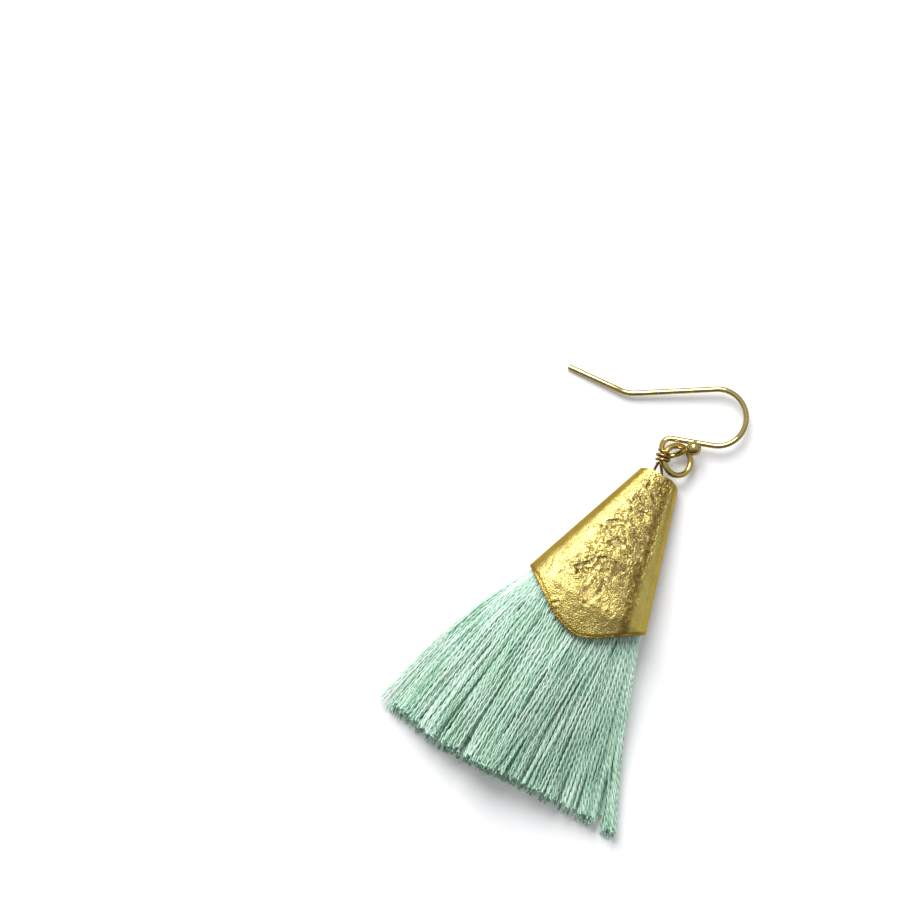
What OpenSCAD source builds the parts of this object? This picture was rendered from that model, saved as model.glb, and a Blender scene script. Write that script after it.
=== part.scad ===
// Drop earring: a silk tassel in a flattened cone of hammered sheet brass, tied to a jump ring
// with thin wire and hung on a ball-ended ear hook. It lies on a table: Z is up, the hook is
// towards +Y and the fringe towards -Y. Millimetres.

/* [Ear hook] */
// Diameter of the hook's wire
hook_wire_d = 0.75; // [0.65:0.05:0.9]
// Diameter of the ball at the wire's end
ball_d = 2; // [1.6:0.1:2.4]
// Inside bend of the small loop, to the middle of the wire
loop_r = 1.21; // [1:0.05:1.45]
// Straight wire between the small loop and the bow
neck_len = 5.75; // [5:0.25:8]
// Bow that sits in the ear, to the middle of the wire
bow_r = 3.93; // [3.2:0.1:4.8]
// Straight wire between the bow and the tail's bend
shank_len = 11.2; // [8:0.5:14]
// Bend between shank and tail, to the middle of the wire
bend_r = 4.5; // [3:0.5:6]
// Straight tail that goes through the ear
tail_len = 7.9; // [6:0.5:11]
// Height of the small loop above the table
loop_lift = 1.4; // [1.2:0.05:1.8]

/* [Jump ring] */
// Outside diameter of the ring
ring_od = 4.95; // [4.4:0.05:5.6]
// Diameter of the ring's wire
ring_wire_d = 0.8; // [0.65:0.05:0.95]
// Distance of the ring's middle from the cone's middle line
ring_side = 0.8; // [0.4:0.1:1.2]

/* [Binding wire] */
// Diameter of the thin wire that ties the tassel to the ring
bind_wire_d = 0.38; // [0.3:0.02:0.46]
// Turns of the wire round the ring
bind_turns = 3; // [2:1:4]

/* [Cone cap] */
// Width of the cone at its top
cap_top_w = 5.95; // [5.2:0.1:7]
// Thickness of the cone at its top
cap_top_t = 3.8; // [3.4:0.1:4.6]
// Width of the cone at its mouth
cap_mouth_w = 18.6; // [15:0.5:22]
// Thickness of the cone at its mouth
cap_mouth_t = 8.6; // [7.5:0.1:10]
// Length of the cone's sides
cap_side_len = 19.4; // [16:0.5:24]
// How far the middle of each face hangs below the sides
cap_lip = 5; // [3:0.1:6.5]
// Thickness of the sheet
cap_wall = 0.5; // [0.4:0.05:0.6]
// Depth of the hammered dents
dent_depth = 0.35; // [0.1:0.05:0.45]

/* [Tassel] */
// Length of the fringe below the cone's sides
tassel_len = 28.2; // [22:0.5:36]
// Reach of the fringe to the left of the middle line
fan_left = 17.6; // [14:0.2:21]
// Reach of the fringe to the right of the middle line
fan_right = 19.9; // [15:0.2:23]
// Thickness of the fringe at its cut end
fringe_t = 6; // [4.6:0.2:7]
// Locks across each layer of the fringe
lock_count = 13; // [9:1:17]

/* [Hidden] */
brass = [0.83, 0.68, 0.27];
copper = [0.75, 0.53, 0.27];
mint = [0.58, 0.78, 0.69];
// Gap between two pieces of wire that pass each other
wire_gap = 0.06;
// Gap between the tassel and the inside of the cone
fill_gap = 0.25;

// Numbers and places along short tables
function mix(a, b, t) = a + (b - a) * t;
function ease(t) = t <= 0 ? 0 : t >= 1 ? 1 : t * t * (3 - 2 * t);
function column(rows, at, col) = lookup(at, [for (row = rows) [row[0], row[col]]]);
function unit(v) = v / norm(v);
function polar(a) = [cos(a), sin(a)];

// The ring leans on the binding wire: its high side is towards the cone, on the left
hook_r = hook_wire_d / 2;
ring_wire_r = ring_wire_d / 2;
bind_r = bind_wire_d / 2;
ball_r = ball_d / 2;
ring_r = ring_od / 2 - ring_wire_r;
rim_bulge = 0.6;
ring_above_rim = 0.4;
ring_x = ring_side;
ring_y = rim_bulge + ring_above_rim + ring_od / 2;
ring_high_side = 225;
coil_at = 202.5;
pass_at = 187;
ball_at = 66.2;
// The coil holds the ring's wire and its own stem side by side
stem_out = ring_wire_r + wire_gap + bind_r;
coil_out = (stem_out + bind_r - ring_wire_r) / 2;
coil_r = (ring_wire_r + stem_out + bind_r) / 2 + wire_gap + bind_r;
coil_outer = coil_r + bind_r;
pass_z = loop_lift + hook_r + wire_gap + coil_outer;
far_z = loop_lift - 0.15;
ring_sway = (pass_z - far_z) / (cos(pass_at - ring_high_side) - cos(ball_at - ring_high_side));
ring_z = pass_z - ring_sway * cos(pass_at - ring_high_side);
ring_tilt = asin(ring_sway / ring_r);

// Plan of the hook, from its small loop outwards: straight length, then radius and turn
neck_heading = 21.2;
tail_heading = 186.3;
shank_heading = 213.7;
hook_route = [
  [neck_len, bow_r, shank_heading - neck_heading],
  [shank_len, bend_r, tail_heading - shank_heading],
  [tail_len, 0, 0]
];
neck_from_ring = ring_r + 0.95 * (hook_r + ring_wire_r + wire_gap);
loop_back = 0.58 * ring_r;
loop_c = [ring_x, ring_y] - loop_back * polar(neck_heading)
  + (neck_from_ring - loop_r) * polar(neck_heading + 90);
neck_start = loop_r * polar(neck_heading + 90);
// The ball lies over the ring's far side, and above the neck
ball_out = 0.76;
ball_c = [ring_x, ring_y] + (ring_r + ball_out) * polar(ball_at);
ball_v = ball_c - loop_c;
bar_run = sqrt(ball_v * ball_v - loop_r * loop_r);
bar_from = atan2(ball_v.y, ball_v.x) - acos(loop_r / norm(ball_v));
ball_rise = ball_r + hook_r + 3 * wire_gap;
elbow_r = 0.9;
elbow_seat = 0.1;
elbow_v = [bar_run - elbow_seat, ball_rise - elbow_r];
bar_pitch = atan2(elbow_v.y, elbow_v.x) + asin(elbow_r / norm(elbow_v));
bar_len = sqrt(elbow_v * elbow_v - elbow_r * elbow_r);

// Where the route has got to after its first n rows, as x, y and heading
function after(route, n, at) = n == 0 ? at :
  let (was = after(route, n - 1, at), row = route[n - 1], side = sign(row[2]), now = was[2] + row[2])
  let (start = [was.x, was.y] + row[0] * polar(was[2]))
  let (end = start + side * row[1] * (polar(was[2] + 90) - polar(now + 90)))
  [end.x, end.y, now];
tail_end = after(hook_route, len(hook_route), [neck_start.x, neck_start.y, neck_heading]);
bow_start = neck_start + neck_len * polar(neck_heading);
bow_c = bow_start + bow_r * polar(neck_heading + 90);
hook_tilt = asin((loop_lift - hook_r) / -tail_end.x);

// The whole earring's box in plan, whose middle is the origin
left_x = min(loop_c.x + tail_end.x * cos(hook_tilt) - hook_r * abs(sin(tail_heading)), -fan_left);
right_x = max(loop_c.x + bow_c.x + bow_r + hook_r, fan_right);
top_y = loop_c.y + bow_c.y + bow_r + hook_r;
bottom_y = -cap_side_len - tassel_len;
middle = [(left_x + right_x) / 2, (top_y + bottom_y) / 2];

// Sheet of the cone: how far across its face, and how far the lip hangs there
lip_rows = [
  [-1, 0], [-0.87, 0.13], [-0.68, 0.32], [-0.48, 0.56], [-0.33, 0.75], [-0.17, 0.89], [-0.02, 0.98],
  [0.08, 1], [0.19, 0.93], [0.37, 0.74], [0.55, 0.5], [0.77, 0.23], [1, 0]
];
// Rim at the top: how far across, and share of the rim's bulge there
rim_rows = [[-1, 0], [-0.5, 0.35], [0, 0.7], [0.5, 1], [0.8, 0.75], [1, 0]];
// Dents: across the face, along its length, width as a share of the length, depth share
dent_rows = [
  [-0.52, 0.72, 0.11, 1], [-0.2, 0.86, 0.1, 0.8], [0.25, 0.7, 0.1, 0.9], [-0.1, 0.55, 0.08, 0.8],
  [0.3, 0.46, 0.08, 0.7], [-0.4, 0.42, 0.07, 0.6], [0.1, 0.28, 0.07, 0.6], [0.42, 0.87, 0.09, 0.6],
  [-0.3, 0.18, 0.06, 0.5]
];
cap_sides = 56;
cap_rings = 22;
squareness = 0.86;

// Half the width and half the thickness of the cone at a distance from its top
function cap_half_w(d) = mix(cap_top_w, cap_mouth_w, d / cap_side_len) / 2;
function cap_half_t(d) = mix(cap_top_t, cap_mouth_t, min(1, d / cap_side_len)) / 2;
function rounded(c) = sign(c) * pow(abs(c), squareness);
// A dent's hollow, and the seam beside the smooth right-hand band
function hollow(u, v) = dent_depth * max([for (row = dent_rows)
  let (off = norm([(u - row[0]) * mix(0.3, 1, v) * 0.48, v - row[1]]) / row[2])
  off < 1 ? row[3] * pow(1 - off * off, 2) : 0]);
function seam_drop(u, v) = dent_depth * 0.6 * ease((u - mix(0.46, 0.72, v)) / 0.09) * ease((0.97 - u) / 0.1);
// A point of the sheet: angle round it, share of its length, and inset from its outside
function cap_point(a, v, inset) =
  let (u = rounded(cos(a)), w = rounded(sin(a)))
  let (high = rim_bulge * column(rim_rows, u, 1), low = cap_side_len + lip_at(u))
  let (d = mix(-high, low, v), half_t = cap_half_t(d), face = abs(w) * (w > 0 ? 1 : 0))
  let (relief = ease(face * 2) * (hollow(u, v) + seam_drop(u, v)))
  [(cap_half_w(d) - inset) * u, -d, half_t + (half_t - inset) * w - relief];

// Side faces between rings of n points each, and a tube of such rings with flat ends
function band(n, j, k) = [for (i = [0:n - 1]) let (m = (i + 1) % n)
  each [[j * n + i, k * n + m, j * n + m], [j * n + i, k * n + i, k * n + m]]];
module lofted(rings) {
  n = len(rings[0]);
  last = len(rings) - 1;
  sides = [for (j = [0:last - 1]) each band(n, j, j + 1)];
  ends = [[for (i = [0:n - 1]) i], [for (i = [n - 1:-1:0]) last * n + i]];
  polyhedron([for (ring = rings) each ring], concat(sides, ends), convexity = 8);
}

// A wire swept along points, its rings carried forward without twist
function tangents(p) = [for (i = [0:len(p) - 1]) unit(p[min(i + 1, len(p) - 1)] - p[max(i - 1, 0)])];
function level(n, t) = unit(n - t * (n * t));
module swept(points, r, sides) {
  t = tangents(points);
  n = [for (i = 0, v = level([0, 0, 1], t[0]); i < len(points);
    i = i + 1, v = i < len(points) ? level(v, t[i]) : v) v];
  lofted([for (i = [0:len(points) - 1]) let (side = cross(t[i], n[i]))
    [for (k = [0:sides - 1]) points[i] + r * (cos(k * 360 / sides) * n[i] + sin(k * 360 / sides) * side)]]);
}
// A smooth curve through chosen points
function spline(p, i, t) =
  let (a = p[max(i - 1, 0)], b = p[i], c = p[i + 1], d = p[min(i + 2, len(p) - 1)])
  0.5 * (2 * b + (c - a) * t + (2 * a - 5 * b + 4 * c - d) * t * t + (3 * b - a - 3 * c + d) * t * t * t);
function smoothed(p, steps) = [for (i = [0:len(p) - 2]) for (k = [0:steps - 1]) spline(p, i, k / steps)];

// A round wire along a route of straights and bends, in its own plane. A bend is a hair
// thinner than the straights, and its ends run a little way into them.
bend_seat = 0.06;
bend_thin = 0.01;
module bent_wire(route, wire_r, i = 0) {
  row = route[i];
  side = sign(row[2]);
  if (row[0] > 0)
    rotate([0, 90, 0])
      cylinder(r = wire_r, h = row[0], $fn = 32);
  if (row[1] > 0)
    translate([row[0], 0, 0]) {
      bent_arc(row[1], row[2], wire_r);
      translate([row[1] * sin(abs(row[2])), side * row[1] * (1 - cos(row[2])), 0])
        rotate([0, 0, row[2]])
          if (i + 1 < len(route)) bent_wire(route, wire_r, i + 1);
    }
}
// An arc of wire that starts along +X and turns by an angle, left if that is positive
module bent_arc(radius, turn, wire_r) {
  side = sign(turn);
  more = bend_seat / radius * 180 / PI;
  translate([0, side * radius, 0])
    rotate([0, 0, (side > 0 ? -90 : 90 + turn) - more])
      rotate_extrude(angle = abs(turn) + 2 * more, $fn = 96)
        translate([radius, 0])
          circle(r = wire_r - bend_thin, $fn = 32);
}

// Ear hook: tail, shank, bow, neck and small loop of one wire, with a ball on its end
module ear_hook() {
  color(brass)
    translate([loop_c.x, loop_c.y, loop_lift])
      rotate([0, -hook_tilt, 0]) {
        translate([neck_start.x, neck_start.y, 0])
          rotate([0, 0, neck_heading]) {
            bent_wire(hook_route, hook_r);
            rotate([0, 0, 180])
              bent_arc(loop_r, bar_from + 270 - neck_heading, hook_r);
          }
        rotate([0, 0, bar_from])
          translate([loop_r, -elbow_seat, 0])
            rotate([0, 0, 90])
              rotate([90, 0, 0])
                bent_wire([[2 * elbow_seat, elbow_r, bar_pitch], [bar_len, 0, 0]], hook_r);
        translate([ball_v.x, ball_v.y, ball_rise])
          rotate([0, 90, bar_from + 90])
            sphere(r = ball_r, $fn = 48);
      }
}

// Jump ring: one closed round of wire, leaning on the coil
module jump_ring() {
  color(brass)
    on_ring()
      rotate_extrude($fn = 96)
        translate([ring_r, 0])
          circle(r = ring_wire_r, $fn = 32);
}
module on_ring() {
  translate([ring_x, ring_y, ring_z])
    rotate([0, 0, ring_high_side])
      rotate([0, -ring_tilt, 0])
        children();
}
// A place beside the ring's wire: angle from its high side, distance out, height off its plane
function by_ring(a, out, up) =
  let (x = (ring_r + out) * cos(a), y = (ring_r + out) * sin(a))
  let (flat = x * cos(ring_tilt) - up * sin(ring_tilt), z = x * sin(ring_tilt) + up * cos(ring_tilt))
  [ring_x, ring_y, ring_z] + [
    flat * cos(ring_high_side) - y * sin(ring_high_side),
    flat * sin(ring_high_side) + y * cos(ring_high_side),
    z
  ];

// Binding wire: its stem lies in the coil, its legs go down into the cone and meet under the
// tassel's fold
coil_mid = coil_at - ring_high_side;
coil_pitch = bind_wire_d + wire_gap;
coil_half = bind_turns * coil_pitch / 2 / ring_r * 180 / PI;
eye_y = -0.27 * cap_side_len;
eye_z = cap_half_t(-eye_y);
eye_half = 0.9;
leg_steps = 4;
coil_steps = 14;
module binding_wire() {
  stem = [for (k = [0:4]) by_ring(mix(coil_mid - coil_half - 2, coil_mid + coil_half + 3, k / 4), stem_out, 0)];
  helix = [for (k = [0:bind_turns * coil_steps]) let (part = k / (bind_turns * coil_steps), a = 360 * k / coil_steps)
    by_ring(mix(coil_mid + coil_half, coil_mid - coil_half, part), coil_out + coil_r * cos(a), -coil_r * sin(a))];
  coil_foot = helix[0];
  legs = smoothed([
    stem[4],
    [mix(stem[4].x, eye_half, 0.43), 0.47 * stem[4].y, mix(stem[4].z, eye_z, 0.55)],
    [0.6 * eye_half, -0.1 * ring_od, mix(stem[4].z, eye_z, 0.9)],
    [eye_half, 0.7 * eye_y, eye_z],
    [0.75 * eye_half, 0.95 * eye_y, eye_z],
    [0, eye_y, eye_z],
    [-0.75 * eye_half, 0.95 * eye_y, eye_z],
    [-eye_half, 0.7 * eye_y, eye_z],
    [mix(coil_foot.x, -eye_half, 0.6), -0.1 * ring_od, eye_z],
    [mix(coil_foot.x, -eye_half, 0.1), 0.45 * coil_foot.y, mix(coil_foot.z, eye_z, 0.6)],
    coil_foot
  ], leg_steps);
  color(copper)
    swept(concat([for (k = [0:3]) stem[k]], legs, helix), bind_r, 6);
}

// Cone cap: sheet rolled to a flattened cone, lipped at the mouth, dented on its upper face
module cone_cap() {
  outer = [for (v = [0:cap_rings]) [for (i = [0:cap_sides - 1]) cap_point(i * 360 / cap_sides, v / cap_rings, 0)]];
  inner = [for (v = [0:cap_rings]) [for (i = [0:cap_sides - 1]) cap_point(i * 360 / cap_sides, v / cap_rings, cap_wall)]];
  rows = cap_rings + 1;
  faces = [
    for (j = [0:cap_rings - 1]) each band(cap_sides, j, j + 1),
    for (j = [0:cap_rings - 1]) each band(cap_sides, rows + j + 1, rows + j),
    each band(cap_sides, rows, 0),
    each band(cap_sides, rows - 1, 2 * rows - 1)
  ];
  color(brass)
    polyhedron([for (ring = concat(outer, inner)) each ring], faces, convexity = 8);
}

// Fringe: distance below the cone's sides as a share of its length, then the share of the
// spread on the left and on the right
fan_rows = [[0, 0, 0], [0.15, 0.25, 0.15], [0.3, 0.47, 0.31], [0.5, 0.68, 0.51], [0.72, 0.86, 0.76], [0.93, 1, 1]];
// Distance past the lip as a share of the length, then the fall of the lower and the upper face
fall_rows = [[0, 0, 0], [0.1, 0.45, 0.08], [0.22, 0.88, 0.25], [0.4, 1, 0.55], [0.6, 1, 0.85], [0.8, 1, 1]];
// How long the locks are from the left side of the fringe to the right
length_rows = [[-1, 0.95], [-0.7, 1], [-0.3, 0.995], [0.1, 0.985], [0.5, 0.97], [0.85, 0.955], [1, 0.95]];
lock_root = 0.72;
lock_root_share = 0.62;
lock_stations = [-1, 0, 0.2, 0.42, 0.68, 0.96, 1];
mouth_half_w = cap_mouth_w / 2 - cap_wall - fill_gap;
mouth_half_t = cap_mouth_t / 2 - cap_wall - fill_gap;
lock_half_t = 0.19 * fringe_t;

// Reach of the fringe to one side, at a distance below the cone's top
function spread(u, d) =
  let (share = (d - cap_side_len) / tassel_len, wide = u < 0 ? fan_left : fan_right)
  share > 0 ? mix(mouth_half_w, wide, column(fan_rows, share, u < 0 ? 1 : 2))
  : cap_half_w(d) - cap_wall - fill_gap;
function lip_at(u) = cap_lip * column(lip_rows, u, 1);
function fallen(u, d, upper) = column(fall_rows, (d - cap_side_len - lip_at(u)) / tassel_len, upper ? 2 : 1);
// Height of the fringe's upper and lower faces there, before the locks' own thickness
function bundle_z(u, d, upper) =
  let (in_cap = min(cap_half_t(d), cap_half_t(cap_side_len)), arch = sqrt(max(0, 1 - u * u)))
  let (held = in_cap + (upper ? 1 : -1) * (in_cap - cap_wall - fill_gap) * arch)
  let (laid = upper ? fringe_t * mix(0.42, 1, 1 - u * u) : 0)
  mix(held, laid, fallen(u, d, upper));
function fringe_end(u) = cap_side_len + tassel_len * column(length_rows, u, 1);

// One lock: how far across, its width against its neighbours', which layer, and where it is cut
module lock(u, half_share, upper, cut) {
  last = cut * fringe_end(u);
  rings = [for (s = lock_stations)
    let (d = s < 0 ? lock_root * cap_side_len : mix(cap_side_len, last, s))
    let (gap = (spread(1, d) + spread(-1, d)) / lock_count)
    let (half = (s == 1 ? 0.85 : 1) * mix(lock_root_share, half_share, max(0, s)) * gap)
    let (inset = u * max(0, 1 - half / spread(u, d)))
    let (up = min(lock_half_t, half * 1.3), corner = inset + sign(u) * half / 2 / spread(u, d))
    let (z = bundle_z(corner, d, upper) + (upper ? -up : up))
    [for (k = [0:5]) [inset * spread(u, d) + half * cos(60 * k), -d, max(z, up) + up * sin(60 * k) / sin(60)]]];
  lofted(rings);
}

module tassel() {
  // The fold of the threads passes over the wire's eye
  fold_r = 0.85;
  fold_t = 0.5;
  head_top = -eye_y + 0.9;
  // Core: distance down as a share of the way to the mouth, share of the width and thickness
  core_rows = [
    [0, 0.8, 0.8], [0.25, 0.92, 0.92], [0.5, 0.92, 0.92], [0.75, 0.92, 0.92], [1, 0.92, 0.92],
    [1.2, 0.93, 0.93], [1.4, 0.94, 0.94], [1.7, 0.94, 0.94], [2, 0.94, 0.94], [2.4, 0.94, 0.9], [2.8, 0.8, 0.5]
  ];
  color(mint)
    union() {
      swept(concat(
        [[0, -head_top - fold_t, eye_z - fold_r]],
        [for (a = [-90:22.5:90]) [0, eye_y + fold_r * cos(a), eye_z + fold_r * sin(a)]],
        [[0, -head_top - fold_t, eye_z + fold_r]]), fold_t, 8);
      lofted([for (row = core_rows)
        let (d = mix(head_top, cap_side_len, row[0]))
        [for (k = [0:17]) let (u = cos(20 * k), low = bundle_z(u, d, false), high = bundle_z(u, d, true))
          let (mid = (low + high) / 2, half = (high - low) / 2)
          [row[1] * u * spread(u, d), -d, mid + row[2] * half * sign(sin(20 * k)) * min(1, abs(2 * sin(20 * k)))]]]);
      for (k = [0:lock_count - 1]) {
        u = mix(-1, 0.9, k / (lock_count - 1));
        lock(u, 0.62, true, 0.975 - 0.008 * sin(137 * k));
      }
      for (k = [0:lock_count - 2]) {
        u = mix(-1, 0.86, (k + 0.5) / (lock_count - 1));
        lock(u, 0.62, false, 0.993 - 0.006 * sin(211 * k));
      }
      lock(1, 0.3, true, 1);
    }
}

translate_all = [-middle.x, -middle.y, 0];
translate(translate_all) ear_hook();
translate(translate_all) jump_ring();
translate(translate_all) binding_wire();
translate(translate_all) cone_cap();
translate(translate_all) tassel();
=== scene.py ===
# %% [markdown]
# # A tassel earring, lying on a white table
#
# The real piece is a silk tassel in a flattened cone of hammered brass. Thin wire ties it to a
# jump ring, and the ring hangs on a ball-ended ear hook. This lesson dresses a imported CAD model:
# each new piece is made at the place and size of the CAD piece that it stands for. Lengths are in
# millimetres from the middle of the cone's top; `MM` turns them into Blender's metres.

# %% Load the frame
import math
import random
from contextlib import contextmanager

import bpy
import numpy as np
from mathutils import Matrix, Vector, noise


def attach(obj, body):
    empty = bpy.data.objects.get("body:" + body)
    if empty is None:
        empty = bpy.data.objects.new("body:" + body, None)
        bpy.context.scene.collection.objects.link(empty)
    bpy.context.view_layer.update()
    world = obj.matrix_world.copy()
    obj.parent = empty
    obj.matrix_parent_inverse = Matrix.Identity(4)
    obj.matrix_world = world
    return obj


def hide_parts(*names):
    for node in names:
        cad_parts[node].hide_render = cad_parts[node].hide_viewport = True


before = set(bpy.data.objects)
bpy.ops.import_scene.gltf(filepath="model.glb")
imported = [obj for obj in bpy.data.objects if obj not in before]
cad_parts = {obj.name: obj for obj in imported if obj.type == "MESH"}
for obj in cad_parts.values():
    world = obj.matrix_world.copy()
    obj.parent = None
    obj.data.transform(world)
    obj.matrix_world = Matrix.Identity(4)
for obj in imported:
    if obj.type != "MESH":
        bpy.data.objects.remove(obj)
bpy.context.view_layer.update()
print("pieces in the frame:", sorted(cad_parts))

# %% [markdown]
# ## Places and sizes
#
# `spot` moves a point from the drawing's origin, the middle of the cone's top, to the frame's, the
# middle of the whole earring on the table. The other small functions give a direction, a value
# between two others, a soft step, and a value read from a table's rows.

# %% Shared sizes and sums
MM = 0.001
MIDDLE = (0.557492, -15.918851)
HOOK_WIRE_R, RING_WIRE_R, BIND_WIRE_R = 0.375, 0.4, 0.19
RING_R = 2.075
CAP_TOP_W, CAP_TOP_T = 5.95, 3.8
CAP_MOUTH_W, CAP_MOUTH_T = 18.6, 8.6
CAP_SIDE_LEN, CAP_LIP, CAP_WALL = 19.4, 5.0, 0.5
TASSEL_LEN, FAN_LEFT, FAN_RIGHT, FRINGE_T = 28.2, 17.6, 19.9, 6.0


def spot(x, y, z):
    return Vector(((x - MIDDLE[0]) * MM, (y - MIDDLE[1]) * MM, z * MM))


def heading(degrees, pitch=0.0):
    a, p = math.radians(degrees), math.radians(pitch)
    return Vector((math.cos(a) * math.cos(p), math.sin(a) * math.cos(p), math.sin(p)))


def between(a, b, t):
    return a + (b - a) * t


def ease(t):
    t = np.clip(t, 0, 1)
    return t * t * (3 - 2 * t)


def from_rows(rows, at, column=1):
    return np.interp(at, rows[:, 0], rows[:, column])


# %% [markdown]
# ## Working by operators
#
# An operator acts on whatever is selected, so each step first says what that is, and `editing`
# opens edit mode for a few operators. A finished piece has its place in its mesh and its object at
# the origin. Handed over, it rides on the earring's one body and stands for its CAD piece.

# %% Helpers for picking, editing and handing over
WELD_GAP = 0.00001


def pick(*objects):
    if bpy.context.object and bpy.context.object.mode != "OBJECT":
        bpy.ops.object.mode_set(mode="OBJECT")
    bpy.ops.object.select_all(action="DESELECT")
    for one in objects:
        one.select_set(True)
    bpy.context.view_layer.objects.active = objects[0]


@contextmanager
def editing(piece):
    pick(piece)
    bpy.ops.object.mode_set(mode="EDIT")
    yield
    bpy.ops.object.mode_set(mode="OBJECT")


def settle(piece):
    pick(piece)
    bpy.ops.object.transform_apply(location=True, rotation=True, scale=True)
    return piece


def close_skin(piece, gap=WELD_GAP, top_faces_up=False):
    """Weld the points that meet and turn the faces outwards."""
    with editing(piece):
        bpy.ops.mesh.select_all(action="SELECT")
        bpy.ops.mesh.remove_doubles(threshold=gap * MM)
        bpy.ops.mesh.normals_make_consistent(inside=False)
    if top_faces_up and max(piece.data.polygons, key=lambda f: f.center.z).normal.z < 0:
        with editing(piece):
            bpy.ops.mesh.flip_normals()


def shade_smoothly(piece, up_to):
    pick(piece)
    bpy.ops.object.shade_smooth_by_angle(angle=math.radians(up_to))


def hand_over(piece, name, finish, stands_for):
    piece.name = piece.data.name = name
    piece.data.materials.clear()
    piece.data.materials.append(finish)
    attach(piece, "root")
    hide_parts(stands_for)
    piece.data.calc_loop_triangles()
    print(f"{name}: {len(piece.data.loop_triangles)} triangles")


# %% [markdown]
# ## Building node trees in code
#
# In the shader editor one adds a node, sets its fields and draws its links. `Links` does that in
# code: a value that is a socket is linked, any other is typed in. A node group puts out masks or a
# normal, and the shaders stay in the materials.

# %% A helper to build node trees
class Links:
    def __init__(self, tree):
        self.tree = tree

    def fill(self, node, values):
        for key, value in values.items():
            if isinstance(value, bpy.types.NodeSocket):
                self.tree.links.new(value, node.inputs[key])
            else:
                node.inputs[key].default_value = value

    def add(self, kind, inputs=None, **settings):
        node = self.tree.nodes.new(kind)
        for key, value in settings.items():
            setattr(node, key, value)
        self.fill(node, inputs or {})
        return node

    def ramp(self, fac, stops):
        node = self.add("ShaderNodeValToRGB", {"Fac": fac})
        bar = node.color_ramp
        while len(bar.elements) < len(stops):
            bar.elements.new(0.5)
        for element, (place, color) in zip(bar.elements, stops):
            element.position = place
            element.color = (*color, 1)
        return node.outputs["Color"]

    def calc(self, operation, *values):
        return self.add("ShaderNodeMath", dict(enumerate(values)), operation=operation).outputs[0]

    def mix(self, factor, a, b, blend="MIX"):
        return self.add("ShaderNodeMix", {"Factor": factor, "A": a, "B": b},
                        data_type="RGBA", blend_type=blend).outputs["Result"]

    def spread(self, value, source, target=(0.0, 1.0), steps="LINEAR"):
        """Map the range source of a value to the range target."""
        return self.add("ShaderNodeMapRange", {
            "Value": value, "From Min": source[0], "From Max": source[1],
            "To Min": target[0], "To Max": target[1]}, interpolation_type=steps).outputs["Result"]

    def place(self, stretch=1.0):
        """Object coordinates. A stretch under 1 draws a pattern out along the earring."""
        here = self.add("ShaderNodeTexCoord").outputs["Object"]
        return self.add("ShaderNodeMapping", {"Vector": here, "Scale": (1.0, stretch, 1.0)}).outputs[0]

    def cloud(self, place, scale, detail, **more):
        return self.add("ShaderNodeTexNoise", {
            "Vector": place, "Scale": scale, "Detail": detail, **more}).outputs["Fac"]

    def kept(self, uv_map):
        """The values that were kept in a UV map, one in X and one in Y."""
        uv = self.add("ShaderNodeUVMap", uv_map=uv_map).outputs["UV"]
        return self.add("ShaderNodeSeparateXYZ", {"Vector": uv}).outputs


def new_finish(name):
    finish = bpy.data.materials.new(name)
    finish.use_nodes = True
    return finish, Links(finish.node_tree), finish.node_tree.nodes["Principled BSDF"]


def new_group(name, inputs, outputs):
    tree = bpy.data.node_groups.new(name, "ShaderNodeTree")
    for label, kind, value in inputs:
        tree.interface.new_socket(label, in_out="INPUT", socket_type=kind).default_value = value
    for label, kind in outputs:
        tree.interface.new_socket(label, in_out="OUTPUT", socket_type=kind)
    links = Links(tree)
    return tree, links, links.add("NodeGroupInput").outputs, links.add("NodeGroupOutput")


# %% [markdown]
# ## Camera
#
# The photograph looks straight down on the table, with the earring turned 31 degrees. A long lens
# keeps the cone's height from leaning outwards.

# %% The camera over the table
PICTURE_ROLL = 31.0
PICTURE_SIDE = 124.2 * MM
PICTURE_MIDDLE = spot(-26.874, -11.462, 0)
LENS_MM, SENSOR_MM = 180, 36
FOCUS_LIFT = 3 * MM

bpy.ops.object.camera_add(rotation=(0, 0, math.radians(PICTURE_ROLL)))
camera = bpy.context.object
camera.name = "table_camera"
camera.data.lens = LENS_MM
camera.data.sensor_width = SENSOR_MM
camera_height = PICTURE_SIDE * LENS_MM / SENSOR_MM
camera.location = PICTURE_MIDDLE + Vector((0, 0, camera_height + FOCUS_LIFT))
camera.data.clip_start = 0.01
camera.data.clip_end = 10
bpy.context.scene.camera = camera
print(f"camera {camera_height / MM:.0f} mm above the table")

# %% [markdown]
# ## Light
#
# One wide softbox hangs beyond the earring's top. The cone's left flank mirrors it, and the
# shadows fall away from it with soft edges. A disk-shaped area light does the same, and its size
# sets how soft the shadows are. Its bearing is counted in the picture, from the right.

# %% The softbox
KEY_BEARING, KEY_RISE = 102, 45
KEY_AWAY, KEY_SIZE = 620, 410
KEY_POWER = 4.7
aim = spot(0, -14, 0)
key_place = aim + heading(PICTURE_ROLL + KEY_BEARING, KEY_RISE) * KEY_AWAY * MM
bpy.ops.object.light_add(type="AREA", location=key_place)
key_light = bpy.context.object
key_light.name = "key_softbox"
key_light.data.shape = "DISK"
key_light.data.size = KEY_SIZE * MM
key_light.data.energy = KEY_POWER
key_light.rotation_euler = (aim - key_place).to_track_quat("-Z", "Y").to_euler()
print("softbox", [round(c / MM) for c in key_place], "mm from the middle")

# %% [markdown]
# The rest of the metal shows the room, and polished metal in an even grey world looks dead. So the
# world is a studio in little: dark at the horizon, bright above it, greyer overhead, and dimmer
# beyond the picture's lower edge.

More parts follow.
